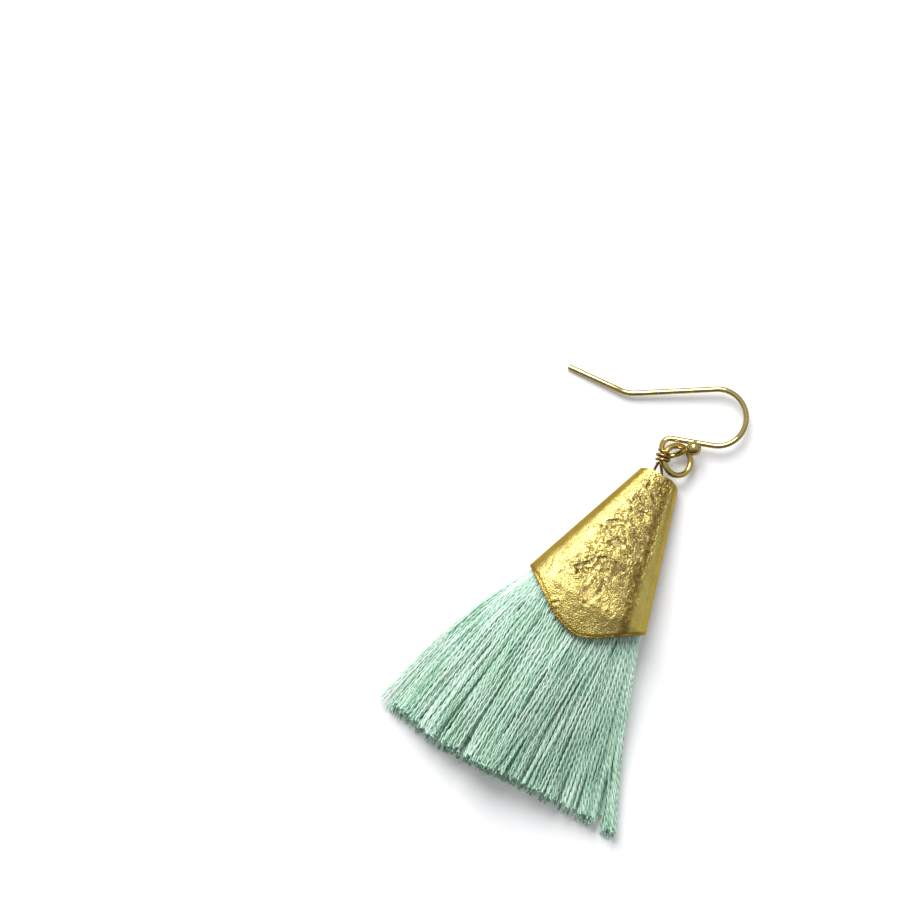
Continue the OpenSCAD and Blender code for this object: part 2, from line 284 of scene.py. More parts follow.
# %% The studio as a world
STUDIO_RINGS = [(0.0, 0.08), (0.13, 0.3), (0.28, 0.56), (0.55, 0.54), (0.76, 0.39), (0.97, 0.46)]
COOLER = 1.02
world = bpy.data.worlds.new("studio")
bpy.context.scene.world = world
world.use_nodes = True
sky = Links(world.node_tree)
way = sky.add("ShaderNodeTexCoord").outputs["Generated"]
height_of_way = sky.add("ShaderNodeSeparateXYZ", {"Vector": way}).outputs["Z"]
to_top = sky.add("ShaderNodeVectorMath", {0: way, 1: heading(PICTURE_ROLL + 90)},
                 operation="DOT_PRODUCT").outputs["Value"]
sky.fill(world.node_tree.nodes["Background"], {
    "Color": sky.ramp(height_of_way, [(height, (grey, grey, grey * COOLER))
                                      for height, grey in STUDIO_RINGS]),
    "Strength": sky.spread(to_top, (-0.75, 0.0), (0.18, 1.0))})
bpy.context.scene.view_settings.view_transform = "Standard"
print("studio rings:", len(STUDIO_RINGS))

# %% [markdown]
# The table is plain white paper. A faint glow burns it out to white round the soft shadows, as in
# an overexposed background.

# %% The table top
bpy.ops.mesh.primitive_plane_add(size=3)
table_top = bpy.context.object
table_top.name = "table_top"
paper, pl, shade = new_finish("white_paper")
pl.fill(shade, {"Base Color": (0.93, 0.93, 0.94, 1), "Roughness": 0.7,
                "Emission Color": (1, 1, 1, 1), "Emission Strength": 0.1})
table_top.data.materials.append(paper)
print("table top laid")

# %% [markdown]
# ## Tarnish and handling
#
# Brass darkens in patches and is rubbed bright where it is handled. All the metal here shows that,
# each at its own scale, so it is one node group with its sizes as inputs. It gives a mask for the
# patches and a normal with a fine grain.

# %% The handling group
GRAIN_HEIGHT = 0.08 * MM
handling, hl, given, out = new_group(
    "handling",
    [("Patch Size", "NodeSocketFloat", 600.0), ("Grain Size", "NodeSocketFloat", 6000.0),
     ("Grain Depth", "NodeSocketFloat", 0.3)],
    [("Patches", "NodeSocketFloat"), ("Normal", "NodeSocketVector")])
grain = hl.cloud(hl.place(), given["Grain Size"], 2.0)
grained = hl.add("ShaderNodeBump", {
    "Height": grain, "Strength": given["Grain Depth"], "Distance": GRAIN_HEIGHT})
hl.fill(out, {"Patches": hl.cloud(hl.place(), given["Patch Size"], 3.0),
              "Normal": grained.outputs["Normal"]})
print("handling group:", len(handling.nodes), "nodes")

# %% [markdown]
# ## Drawn wire
#
# The wires are drawn and satin-polished, and the thin one is redder. A Layer Weight, which knows how far a
# face is turned from the camera, darkens their sides: this is painted shade on the wire's rims. The
# specular tint keeps a metal's outermost rim from turning white.

# %% Wire finishes
RIM_TINT = (0.75, 0.66, 0.4, 1)


def wire_finish(name, bright, dull, rough, patch_size, side_shade):
    finish, links, shade = new_finish(name)
    marks = links.add("ShaderNodeGroup", {"Patch Size": patch_size, "Grain Size": 5000.0,
                                          "Grain Depth": 0.04}, node_tree=handling).outputs
    # Painted shade: the colour darkens where the wire turns away from the camera.
    facing = links.add("ShaderNodeLayerWeight", {"Blend": 0.5}).outputs["Facing"]
    at_side = links.spread(facing, (0.06, 0.38), (0.0, 0.85))
    painted_side_shade = (*(side_shade * c for c in dull), 1)
    links.fill(shade, {
        "Metallic": 1.0, "Specular Tint": RIM_TINT, "Normal": marks["Normal"],
        "Base Color": links.mix(at_side, links.ramp(marks["Patches"], [(0.25, dull), (0.6, bright)]),
                                painted_side_shade),
        "Roughness": links.spread(marks["Patches"], (0.3, 0.7), (rough + 0.05, rough - 0.03))})
    return finish


hook_finish = wire_finish("hook_brass", (0.88, 0.71, 0.28), (0.74, 0.57, 0.19), 0.09, 260.0, 0.3)
ring_finish = wire_finish("ring_brass", (0.84, 0.66, 0.20), (0.60, 0.43, 0.10), 0.22, 500.0, 0.5)
binding_finish = wire_finish(
    "binding_copper", (0.66, 0.44, 0.15), (0.38, 0.22, 0.06), 0.22, 1200.0, 0.42)
print("wire finishes:", hook_finish.name, ring_finish.name, binding_finish.name)

# %% [markdown]
# ## Ear hook
#
# The real hook is one wire bent round pegs: tail, bend, shank, bow, neck, small loop, and a bar
# that rises to a ball over the ring. The neck passes just beside the ring, and the bar has to
# clear the ring and end under the ball, so where it leaves the loop and how steeply it climbs are
# worked out.

# %% Sizes of the hook's route
WIRE_GAP = 0.06
HOOK_TILT, LOOP_LIFT = 3.2916, 1.4
LOOP_R, LOOP_BACK = 1.21, 0.58
NECK_LEN, NECK_HEADING, NECK_CLEAR = 5.75, 21.2, 0.95
BOW_R, SHANK_LEN, SHANK_HEADING = 3.93, 11.2, 213.7
BEND_R, TAIL_LEN, TAIL_HEADING = 4.5, 7.9, 186.3
BALL_R, BALL_AT, BALL_OUT = 1.0, 66.2, 0.76
ELBOW_R, ELBOW_SEAT = 0.9, 0.1
RING_MIDDLE = Vector((0.8, 3.475, 0))
neck_from_ring = RING_R + NECK_CLEAR * (HOOK_WIRE_R + RING_WIRE_R + WIRE_GAP)
loop_middle = (RING_MIDDLE - LOOP_BACK * RING_R * heading(NECK_HEADING)
               + (neck_from_ring - LOOP_R) * heading(NECK_HEADING + 90))
ball_place = RING_MIDDLE + (RING_R + BALL_OUT) * heading(BALL_AT) - loop_middle
bar_run = math.sqrt(ball_place.length_squared - LOOP_R ** 2)
bar_from = math.degrees(math.atan2(ball_place.y, ball_place.x) - math.acos(LOOP_R / ball_place.length))
ball_rise = BALL_R + HOOK_WIRE_R + 3 * WIRE_GAP
rise = Vector((bar_run - ELBOW_SEAT, ball_rise - ELBOW_R))
bar_pitch = math.degrees(math.atan2(rise.y, rise.x) + math.asin(ELBOW_R / rise.length))
bar_len = math.sqrt(rise.length_squared - ELBOW_R ** 2)
print(f"bar leaves the loop at {bar_from:.1f} degrees and climbs {bar_pitch:.1f}")

# %% [markdown]
# These are the stations along the wire, from the loop backwards: where each straight and each bend
# starts, and the middle that each bend turns round. That middle is square to the wire, at the
# bend's radius, which is what `left_of` is for.

# %% Stations along the hook
def left_of(degrees):
    return heading(degrees + 90)


bow_turn = SHANK_HEADING - NECK_HEADING
loop_turn = bar_from + 270 - NECK_HEADING
neck_start = LOOP_R * left_of(NECK_HEADING)
bow_start = neck_start + NECK_LEN * heading(NECK_HEADING)
bow_middle = bow_start + BOW_R * left_of(NECK_HEADING)
bow_end = bow_middle - BOW_R * left_of(SHANK_HEADING)
bend_start = bow_end + SHANK_LEN * heading(SHANK_HEADING)
bend_middle = bend_start - BEND_R * left_of(SHANK_HEADING)
tail_start = bend_middle + BEND_R * left_of(TAIL_HEADING)
tail_tip = tail_start + TAIL_LEN * heading(TAIL_HEADING)
bar_way = heading(bar_from + 90)
elbow_start = LOOP_R * heading(bar_from) + ELBOW_SEAT * bar_way
print("tail's tip from the loop:", [round(c, 2) for c in tail_tip])

# %% [markdown]
# A curve with a round bevel would do, but this hook is made as on the bench. A circle of edges at
# the tail's tip is extruded for each straight and spun for each bend. Both operators leave the new
# end selected. `mesh.spin` turns clockwise for a positive angle, so a left bend gets a negative
# one.

# %% Bend the hook
WIRE_SIDES = 20


def extrude_wire(way, length):
    bpy.ops.mesh.extrude_region_move(TRANSFORM_OT_translate={"value": way * length * MM})


def spin_wire(centre, turn, axis=(0, 0, 1), steps=24):
    bpy.ops.mesh.spin(steps=steps, angle=-math.radians(turn), center=centre * MM, axis=axis)


bpy.ops.mesh.primitive_circle_add(
    vertices=WIRE_SIDES, radius=HOOK_WIRE_R * MM, fill_type="NOTHING", location=tail_tip * MM,
    rotation=(math.radians(90), 0, math.radians(TAIL_HEADING - 90)))
hook = settle(bpy.context.object)
with editing(hook):
    bpy.ops.mesh.select_all(action="SELECT")
    extrude_wire(-heading(TAIL_HEADING), TAIL_LEN)
    spin_wire(bend_middle, SHANK_HEADING - TAIL_HEADING, steps=10)
    extrude_wire(-heading(SHANK_HEADING), SHANK_LEN)
    spin_wire(bow_middle, -bow_turn, steps=56)
    extrude_wire(-heading(NECK_HEADING), NECK_LEN)
    spin_wire(Vector((0, 0, 0)), loop_turn, steps=48)
    extrude_wire(bar_way, ELBOW_SEAT)
    spin_wire(elbow_start + Vector((0, 0, ELBOW_R)), bar_pitch, axis=bar_way.cross((0, 0, 1)), steps=8)
    extrude_wire(heading(bar_from + 90, bar_pitch), bar_len)
    bpy.ops.mesh.select_all(action="SELECT")
    bpy.ops.mesh.fill_holes(sides=WIRE_SIDES)
print("hook wire:", len(hook.data.vertices), "points")

# %% [markdown]
# The tail's cut end is filed round, so its rim is bevelled. The ball is a melted bead: a sphere,
# with a low torus as the collar where the wire runs into it. At last the hook is tipped so that
# its bow and tail lie on the table.

# %% File the tip, add the bead, lay the hook down
FILED = 0.14
COLLAR_R, COLLAR_WIRE_R, COLLAR_BACK = 0.42, 0.13, 0.9


def select_near(piece, place, reach):
    for v in piece.data.vertices:
        v.select = (v.co - place).length < reach
    for part in (*piece.data.edges, *piece.data.polygons):
        part.select = all(piece.data.vertices[i].select for i in part.vertices)


select_near(hook, tail_tip * MM, 1.1 * HOOK_WIRE_R * MM)
with editing(hook):
    bpy.ops.mesh.select_mode(type="EDGE")
    bpy.ops.mesh.bevel(offset=FILED * MM, segments=3, profile=0.5)
    bpy.ops.mesh.select_mode(type="VERT")

ball_middle = Vector((ball_place.x, ball_place.y, ball_rise))
bpy.ops.mesh.primitive_uv_sphere_add(
    segments=40, ring_count=24, radius=BALL_R * MM, location=ball_middle * MM)
bead = bpy.context.object
bar_up = heading(bar_from + 90, bar_pitch)
bpy.ops.mesh.primitive_torus_add(
    major_radius=COLLAR_R * MM, minor_radius=COLLAR_WIRE_R * MM, major_segments=32, minor_segments=10,
    location=(ball_middle - bar_up * COLLAR_BACK) * MM,
    rotation=bar_up.to_track_quat("Z", "Y").to_euler())
pick(hook, bead, bpy.context.object)
bpy.ops.object.join()
hook.location = spot(loop_middle.x, loop_middle.y, LOOP_LIFT)
hook.rotation_euler = (0, -math.radians(HOOK_TILT), 0)
settle(hook)
close_skin(hook)
shade_smoothly(hook, up_to=40)
hand_over(hook, "hook_wire", hook_finish, "ear_hook")

# %% [markdown]
# ## Jump ring
#
# A ring of wire, soldered shut. The coil lifts it over the small loop on one side, and it goes
# down towards the ball, so it is turned about its own middle. The solder leaves a slight swelling,
# made by fattening a few of the torus's rings.

# %% The ring and its solder joint
RING_HIGH_SIDE = 225.0
COIL_AT, PASS_AT = 202.5, 187.0
LOW_SIDE_DROP = 0.15
SOLDER_AT, SOLDER_REACH, SOLDER_SWELL = -100, 0.46, 0.025
stem_out = RING_WIRE_R + WIRE_GAP + BIND_WIRE_R
coil_out = (stem_out + BIND_WIRE_R - RING_WIRE_R) / 2
coil_r = (RING_WIRE_R + stem_out + BIND_WIRE_R) / 2 + WIRE_GAP + BIND_WIRE_R
pass_z = LOOP_LIFT + HOOK_WIRE_R + WIRE_GAP + coil_r + BIND_WIRE_R
far_z = LOOP_LIFT - LOW_SIDE_DROP


def up_the_ring(bearing):
    return math.cos(math.radians(bearing - RING_HIGH_SIDE))


ring_sway = (pass_z - far_z) / (up_the_ring(PASS_AT) - up_the_ring(BALL_AT))
ring_z = pass_z - ring_sway * up_the_ring(PASS_AT)
ring_tilt = math.asin(ring_sway / RING_R)
ring_pose = (Matrix.Translation((RING_MIDDLE.x, RING_MIDDLE.y, ring_z))
             @ Matrix.Rotation(math.radians(RING_HIGH_SIDE), 4, "Z")
             @ Matrix.Rotation(-ring_tilt, 4, "Y"))

bpy.ops.mesh.primitive_torus_add(
    major_radius=RING_R * MM, minor_radius=RING_WIRE_R * MM, major_segments=96, minor_segments=20)
ring = bpy.context.object
select_near(ring, heading(SOLDER_AT) * RING_R * MM, SOLDER_REACH * MM)
with editing(ring):
    bpy.ops.transform.shrink_fatten(value=SOLDER_SWELL * MM)
ring.matrix_world = (Matrix.Translation(spot(0, 0, 0)) @ Matrix.Scale(MM, 4) @ ring_pose
                     @ Matrix.Scale(1 / MM, 4))
settle(ring)
close_skin(ring)
shade_smoothly(ring, up_to=60)
hand_over(ring, "linked_ring", ring_finish, "jump_ring")
print(f"ring tilted {math.degrees(ring_tilt):.1f} degrees")

# %% [markdown]
# ## Binding wire
#
# One thin wire comes up out of the cone, lies beside the ring's wire, and winds round both three
# times before its other leg goes back down. Inside the cone it makes an eye for the threads. Stem
# and coil are given in the ring's own frame, and the legs are a few points with a smooth run
# through them.

# %% The binding wire's path
EYE_Y, EYE_Z, EYE_HALF = -0.27 * CAP_SIDE_LEN, 2.548, 0.9
RIM_Y = -0.495
BIND_TURNS, TURN_STEPS, STEM_STEPS, LEG_STEPS = 3, 28, 8, 8
COIL_MID = COIL_AT - RING_HIGH_SIDE
COIL_HALF = math.degrees(BIND_TURNS * (2 * BIND_WIRE_R + WIRE_GAP) / 2 / RING_R)


def beside_ring(angle, out, up):
    a = math.radians(angle)
    return ring_pose @ Vector(((RING_R + out) * math.cos(a), (RING_R + out) * math.sin(a), up))


def through(points, steps):
    """A smooth run of points through the given ones."""
    run = []
    for i in range(len(points) - 1):
        a, b = points[max(i - 1, 0)], points[i]
        c, d = points[i + 1], points[min(i + 2, len(points) - 1)]
        for k in range(steps):
            t = k / steps
            run.append(0.5 * (2 * b + (c - a) * t + (2 * a - 5 * b + 4 * c - d) * t * t
                              + (3 * b - a - 3 * c + d) * t ** 3))
    return run


stem_ends = COIL_MID - COIL_HALF - 2, COIL_MID + COIL_HALF + 3
stem = [beside_ring(between(*stem_ends, k / STEM_STEPS), stem_out, 0) for k in range(STEM_STEPS + 1)]
coil = []
for k in range(BIND_TURNS * TURN_STEPS + 1):
    a = 2 * math.pi * k / TURN_STEPS
    place = between(COIL_MID + COIL_HALF, COIL_MID - COIL_HALF, k / (BIND_TURNS * TURN_STEPS))
    coil.append(beside_ring(place, coil_out + coil_r * math.cos(a), -coil_r * math.sin(a)))
top, foot = stem[-1], coil[0]
legs = through([
    top,
    Vector((between(top.x, EYE_HALF, 0.43), 0.47 * top.y, between(top.z, EYE_Z, 0.55))),
    Vector((0.6 * EYE_HALF, RIM_Y, between(top.z, EYE_Z, 0.9))),
    *(Vector((side * EYE_HALF, back * EYE_Y, EYE_Z))
      for side, back in ((1, 0.7), (0.75, 0.95), (0, 1), (-0.75, 0.95), (-1, 0.7))),
    Vector((between(foot.x, -EYE_HALF, 0.6), RIM_Y, EYE_Z)),
    Vector((between(foot.x, -EYE_HALF, 0.1), 0.45 * foot.y, between(foot.z, EYE_Z, 0.6))),
    foot], LEG_STEPS)
print("binding wire:", len(stem) + len(legs) + len(coil), "points")

# %% [markdown]
# A path that curls like this is hard to extrude and spin. A curve with a round bevel fills its own
# ends and is then converted to a mesh.

# %% Draw the wire as a bevelled curve
line = bpy.data.curves.new("binding", "CURVE")
line.dimensions = "3D"
line.bevel_depth = BIND_WIRE_R * MM
line.bevel_resolution = 5
line.use_fill_caps = True
route = stem[:-1] + legs + coil
strip = line.splines.new("POLY")
strip.points.add(len(route) - 1)
for knot, p in zip(strip.points, route):
    knot.co = (*spot(*p), 1)
binding = bpy.data.objects.new("binding", line)
bpy.context.collection.objects.link(binding)
pick(binding)
bpy.ops.object.convert(target="MESH")
binding = bpy.context.object
close_skin(binding)
shade_smoothly(binding, up_to=50)
hand_over(binding, "tied_wire", binding_finish, "binding_wire")

# %% [markdown]
# ## Cone cap
#
# The real cap is thin sheet, crumpled and hammered on its face, then rolled to a flattened cone.
# Here a flat grid is the sheet, and its points are laid round the cone in code, because no
# operator rolls a sheet to a lipped, flattened cone. First its plain form: how far the lip and the
# top's rim reach, by the place from -1, left, to 1, right, and how square the section is.

# %% The cone's outline
LIP_ROWS = np.array([
    [-1, 0], [-0.87, 0.13], [-0.68, 0.32], [-0.48, 0.56], [-0.33, 0.75], [-0.17, 0.89], [-0.02, 0.98],
    [0.08, 1], [0.19, 0.93], [0.37, 0.74], [0.55, 0.5], [0.77, 0.23], [1, 0]])
RIM_ROWS = np.array([[-1, 0], [-0.85, 0.45], [-0.6, 0.9], [0, 1], [0.5, 1], [0.8, 0.7], [1, 0]])
RIM_BULGE = 0.7
SQUARENESS = 0.79


def cap_half_w(d):
    return between(CAP_TOP_W, CAP_MOUTH_W, d / CAP_SIDE_LEN) / 2


def cap_half_t(d):
    return between(CAP_TOP_T, CAP_MOUTH_T, np.minimum(1, d / CAP_SIDE_LEN)) / 2


def rounded(c):
    return np.sign(c) * np.abs(c) ** SQUARENESS


print(f"cone {2 * cap_half_w(0):.1f} to {2 * cap_half_w(CAP_SIDE_LEN):.1f} mm wide")

# %% [markdown]
# The relief is a height at a place on the face: `x` across and `d` down from the top. The broad dents and
# the main creases are given in short tables.

# %% Dents and creases of the hammered face
DENT_ROWS = [  # across, down, radius, depth
    (-0.7, 18.8, 1.9, 0.15), (-2.6, 15.6, 1.9, 0.12), (0.9, 17.4, 1.3, 0.10), (1.6, 13.2, 1.8, 0.13),
    (-0.4, 10.4, 1.5, 0.10), (1.4, 8.8, 1.4, 0.12), (-1.9, 8.0, 1.2, 0.08), (0.4, 5.4, 1.2, 0.10),
    (2.4, 18.6, 1.6, 0.10), (-0.9, 3.4, 1.0, 0.08), (-5.6, 16.6, 1.4, 0.07), (-7.1, 18.6, 1.1, 0.07)]
CREASES = [  # depth, then points across and down
    (0.13, [(-1.0, 13.0), (-1.3, 13.5), (-1.9, 13.7), (-2.3, 14.0), (-2.5, 14.9)]),
    (0.20, [(-2.7, 15.0), (-3.3, 15.4), (-3.6, 15.8), (-3.9, 16.2), (-3.5, 16.5), (-3.3, 16.9)]),
    (0.08, [(-3.4, 16.9), (-2.8, 17.0), (-2.0, 17.1), (-1.6, 17.3)]),
    (0.13, [(0.2, 15.4), (0.3, 16.0), (0.5, 16.7), (0.75, 17.1), (0.7, 17.8), (0.2, 18.6),
            (-0.3, 20.0)]),
    (0.09, [(-1.6, 14.0), (-1.4, 14.6), (-1.5, 15.0)]),
    (0.10, [(-2.2, 7.9), (-2.5, 8.2), (-2.9, 8.5), (-3.3, 8.8)]),
    (0.10, [(-3.6, 9.7), (-4.2, 9.95), (-4.7, 10.25)]),
    (0.09, [(-3.5, 21.6), (-3.9, 21.9), (-4.0, 22.2)]),
    (0.07, [(2.9, 19.4), (3.3, 19.1), (3.8, 19.3), (3.7, 19.6), (3.2, 19.6)]),
    (0.09, [(-1.1, 1.0), (-1.0, 1.8), (-0.2, 2.4), (0.6, 2.9)]),
    (0.08, [(-2.2, 4.7), (-1.6, 5.2), (-1.1, 5.9)]),
    (0.08, [(0.3, 9.6), (0.6, 10.1), (1.4, 10.4), (1.9, 10.9)]),
    (0.07, [(3.7, 13.0), (4.0, 14.2), (3.9, 15.6)]),
    (0.07, [(-0.7, 16.0), (-0.7, 16.8)]),
    (0.06, [(-7.2, 16.7), (-6.9, 17.8), (-7.2, 19.0)]),
    (0.06, [(-5.2, 17.8), (-5.3, 18.8)])]
print("dents:", len(DENT_ROWS), "creases:", len(CREASES))

# %% [markdown]
# Ridged noise crumples the rest, in two sizes. More noise bends the place before it is looked up,
# so the ridges wander, and kinks the creases, which would look ruled otherwise. `noise_vector`
# starts from the clock unless it is seeded, so it is seeded to give the same sheet on each run. On
# the back the noise is read elsewhere.

# %% The crumpled relief
RELIEF_SEED = 5
COARSE_HEIGHT, FINE_HEIGHT = 0.07, 0.03
WANDER, KINK = 0.35, 0.16
CREASE_HALF_W, CREASE_REACH = 0.24, 0.9
BANK_OFF, BANK_HEIGHT = 0.42, 0.35
BACK_SHIFT = 40
noise.seed_set(RELIEF_SEED)


def distance_to_line(x, d, points):
    best = 1e9
    for (ax, ad), (bx, bd) in zip(points, points[1:]):
        along = ((x - ax) * (bx - ax) + (d - ad) * (bd - ad)) / ((bx - ax) ** 2 + (bd - ad) ** 2)
        along = min(1.0, max(0.0, along))
        best = min(best, math.hypot(x - ax - along * (bx - ax), d - ad - along * (bd - ad)))
    return best


def busyness(x, d):
    """The skin is finely crumpled in the upper middle and calmer to the left and below."""
    in_middle = ease((x + 2.0 + 0.22 * d) / 1.4)
    return float(0.22 + ease((21 - d) / 7) * (0.16 + 0.62 * in_middle))


def crumple(x, d, side):
    """Height of the crumpled skin, and how deep in a crease the place is."""
    busy = busyness(x, d)
    bend = noise.noise_vector(Vector((0.9 * x, 0.9 * d, 3.1 + side)))
    wx, wd = x + WANDER * bend.x, d + WANDER * bend.y
    coarse = noise.ridged_multi_fractal(Vector((0.5 * wx, 0.36 * wd, 7.3 + side)), 0.9, 2.1, 3, 1.0, 2.0)
    fine = noise.ridged_multi_fractal(Vector((2.0 * wx, 1.0 * wd, 1.7 + side)), 0.8, 2.0, 2, 1.0, 2.0)
    height = COARSE_HEIGHT * (coarse - 1.2) * (0.4 + 0.6 * busy) + FINE_HEIGHT * (fine - 1.2) * busy
    kink = noise.noise_vector(Vector((2.7 * x, 2.7 * d, 6.0)))
    crease = 0.0
    for depth, points in CREASES:
        off = distance_to_line(x + KINK * kink.x, d + KINK * kink.y, points)
        if off < CREASE_REACH:
            worn = 0.7 + 0.9 * noise.noise(Vector((1.6 * x, 1.6 * d, 9.0)))
            sharp = max(0.0, 1 - off / CREASE_HALF_W) * worn
            bank = max(0.0, 1 - abs(off - BANK_OFF) / BANK_OFF)
            height += 1.5 * depth * (BANK_HEIGHT * bank - sharp)
            crease = max(crease, sharp * depth / 0.16)
    for across, down, radius, depth in DENT_ROWS:
        off = math.hypot(wx - across, wd - down) / radius
        if off < 1:
            height -= depth * (1 - off * off) ** 2
    return height, min(1.0, crease)


print("height at two places:", [round(crumple(0, d, 0)[0], 3) for d in (4.0, 12.0)])

# %% [markdown]
# Beside the seam the sheet drops away from the light, with a ragged edge, which gives the dark stripe; the
# finish adds a brown there as painted shade. Past the seam it is smooth and marked lighter as painted
# light, and it is calm on both flanks. A fine groove runs along the lip, and the groove and a narrow rim
# below it are marked for painted shade.

# %% Seam, smooth band and lip
SEAM_ROWS = np.array([
    [0, 1.9], [4, 2.9], [6, 3.3], [9, 4.1], [12, 4.7], [15, 5.5], [18, 6.2], [20.5, 7.0], [25, 8.2]])
STRIPE_W, STRIPE_DROP = 1.8, 0.2
FLANK_W = 1.4
GROOVE_IN, GROOVE_HALF, GROOVE_SLOPE, GROOVE_DEPTH = 0.36, 0.06, 0.14, 0.05
LIP_RIM = 0.45


def shape_face(x, d, to_lip, height, crease, flank):
    """What seam, band and lip make of the crumpled face; to_lip is the way left to the lip."""
    past = x - from_rows(SEAM_ROWS, d)
    smooth = float(ease((past + 0.5) / 0.9))
    ragged = (past + 1.1 * noise.noise(Vector((0.9 * x, 0.7 * d, 20)))
              + 0.8 * noise.noise(Vector((2.4 * x, 2.0 * d, 5))))
    drop = float(ease((ragged + STRIPE_W) / STRIPE_W))
    stripe = float(ease((ragged + STRIPE_W + 0.3) / 1.4)) * (1 - smooth)
    height *= (1 - 0.94 * max(smooth, flank)) * (1 - 0.85 * stripe)
    # Painted light: the smooth band's tone is raised, so it is coloured lighter.
    tone_height = height + 0.12 * smooth
    groove = max(0.0, 1 - max(0.0, abs(to_lip - GROOVE_IN) - GROOVE_HALF) / GROOVE_SLOPE)
    height -= STRIPE_DROP * drop * float(ease((cap_half_w(d) - x) / 2.4)) + GROOVE_DEPTH * groove
    rim = float(ease((LIP_RIM - to_lip) / 0.15))
    # The crease mark also takes the lip's groove and rim, which are coloured darker as painted shade.
    return height, tone_height, max(crease * (1 - smooth), 0.9 * groove, 0.8 * rim), smooth, stripe


print("seam beside the lip, from the middle:", float(from_rows(SEAM_ROWS, CAP_SIDE_LEN)), "mm")

# %% [markdown]
# Now the sheet is laid. A quarter of its columns go on the plain back, and the rows crowd towards the lip.
# Each point keeps what the finish will want to know: its height and crease, where the skin is busy, and
# where the brown painted shade goes.

# %% Lay the sheet round the cone
FACE_COLUMNS, BACK_COLUMNS, SHEET_ROWS = 184, 60, 176
TONE_MIDDLE, TONE_GAIN = 0.5, 1.2
face_angles = np.linspace(0, 180, FACE_COLUMNS + 1)[:-1]
back_angles = np.linspace(180, 360, BACK_COLUMNS + 1)
sheet_angles = np.radians(np.concatenate([face_angles, back_angles]))
row_share = np.linspace(0, 1, SHEET_ROWS + 1)
row_share += 0.012 * np.sin(math.pi * row_share)

bpy.ops.mesh.primitive_grid_add(x_subdivisions=len(sheet_angles) - 1, y_subdivisions=SHEET_ROWS, size=2)
cap = bpy.context.object
flat = np.array([v.co[:] for v in cap.data.vertices])
columns = np.rint((flat[:, 0] + 1) / 2 * (len(sheet_angles) - 1)).astype(int)
rows = np.rint((1 - flat[:, 1]) / 2 * SHEET_ROWS).astype(int)
relief, skin = [], []
for vertex, column, row in zip(cap.data.vertices, columns, rows):
    a, v = sheet_angles[column], row_share[row]
    u, w = float(rounded(math.cos(a))), float(rounded(round(math.sin(a), 9)))
    d_lip = CAP_SIDE_LEN + CAP_LIP * from_rows(LIP_ROWS, u)
    d = between(-RIM_BULGE * from_rows(RIM_ROWS, u), d_lip, v)
    x = cap_half_w(d) * u
    flank = float(ease(abs(x) - cap_half_w(d) + FLANK_W))
    height, crease = crumple(x, d, 0 if w > 0 else BACK_SHIFT)
    if w > 0:
        height, tone_height, crease, smooth, stripe = shape_face(
            x, d, d_lip - d, height, crease, flank)
    else:
        tone_height, smooth, stripe = height, 0.0, 0.0
        height *= -0.5 * (1 - flank)
    height *= float(ease(abs(w) * 2.5)) * (0.4 + 0.6 * min(1.0, min(v, 1 - v) * 40))
    vertex.co = spot(x, -d, max(0.0, cap_half_t(d) * (1 + w) + height))
    # The tone follows the relief height: painted shade in the hollows, painted highlight on the heights.
    relief.append((TONE_MIDDLE + tone_height * TONE_GAIN, crease))
    near_lip = float(ease((0.8 - d_lip + d) / 0.4))
    # The second value marks the stripe and the flanks for a brown that is painted shade.
    skin.append(((1 - max(0.9 * smooth, flank, near_lip)) * busyness(x, d),
                 max(0.85 * stripe, 0.65 * flank)))
print("sheet laid:", len(relief), "points; relief from", round(min(r[0] for r in relief), 2))

# %% [markdown]
# The kept values go into UV maps, so that the brass can carry painted shade in the hollows and creases, a
# painted highlight on the heights, and a dull finish where it is smooth. Then the sheet's two edges are
# welded, the wall gets its thickness inwards, and the sharp edges of lip and rim are broken.

# %% Keep the relief, weld, thicken, break the edges
SEAM_WELD = 0.002
EDGE_W = 0.07


def keep_as_uv(piece, name, pairs):
    layer = piece.data.uv_layers.new(name=name)
    corner_points = np.empty(len(piece.data.loops), dtype=np.int32)
    piece.data.loops.foreach_get("vertex_index", corner_points)
    layer.data.foreach_set("uv", np.asarray(pairs, dtype=np.float32)[corner_points].ravel())


def apply_modifier(piece, kind, **settings):
    modifier = piece.modifiers.new(kind, kind)
    for key, value in settings.items():
        setattr(modifier, key, value)
    pick(piece)
    bpy.ops.object.modifier_apply(modifier=modifier.name)


while cap.data.uv_layers:
    cap.data.uv_layers.remove(cap.data.uv_layers[0])
keep_as_uv(cap, "Relief", relief)
keep_as_uv(cap, "Skin", skin)
close_skin(cap, gap=SEAM_WELD, top_faces_up=True)
apply_modifier(cap, "SOLIDIFY", thickness=CAP_WALL * MM, offset=-1, use_rim=True)
apply_modifier(cap, "BEVEL", width=EDGE_W * MM, segments=2, limit_method="ANGLE",
               angle_limit=math.radians(70))
shade_smoothly(cap, up_to=60)
print("cap:", len(cap.data.polygons), "faces")

# %% [markdown]
# ## Hammered brass
#
# Gold-bright on the heights and olive to brown in the creases, which is painted highlight and painted
# shade, over tarnish patches from the handling group. A brown is painted over the stripe and the flanks as
# shade. It comes from the kept relief and from noise on Object coordinates.

# %% The cap's colour
PAINTED_SHADE_BROWN, PAINTED_CREASE_SHADE = (0.26, 0.17, 0.035, 1), (0.24, 0.15, 0.03, 1)
cap_finish, cl, shade = new_finish("hammered_brass")
relief_map, skin_map = cl.kept("Relief"), cl.kept("Skin")
marks = cl.add("ShaderNodeGroup", {"Patch Size": 420.0, "Grain Size": 5500.0, "Grain Depth": 1.0},
               node_tree=handling).outputs
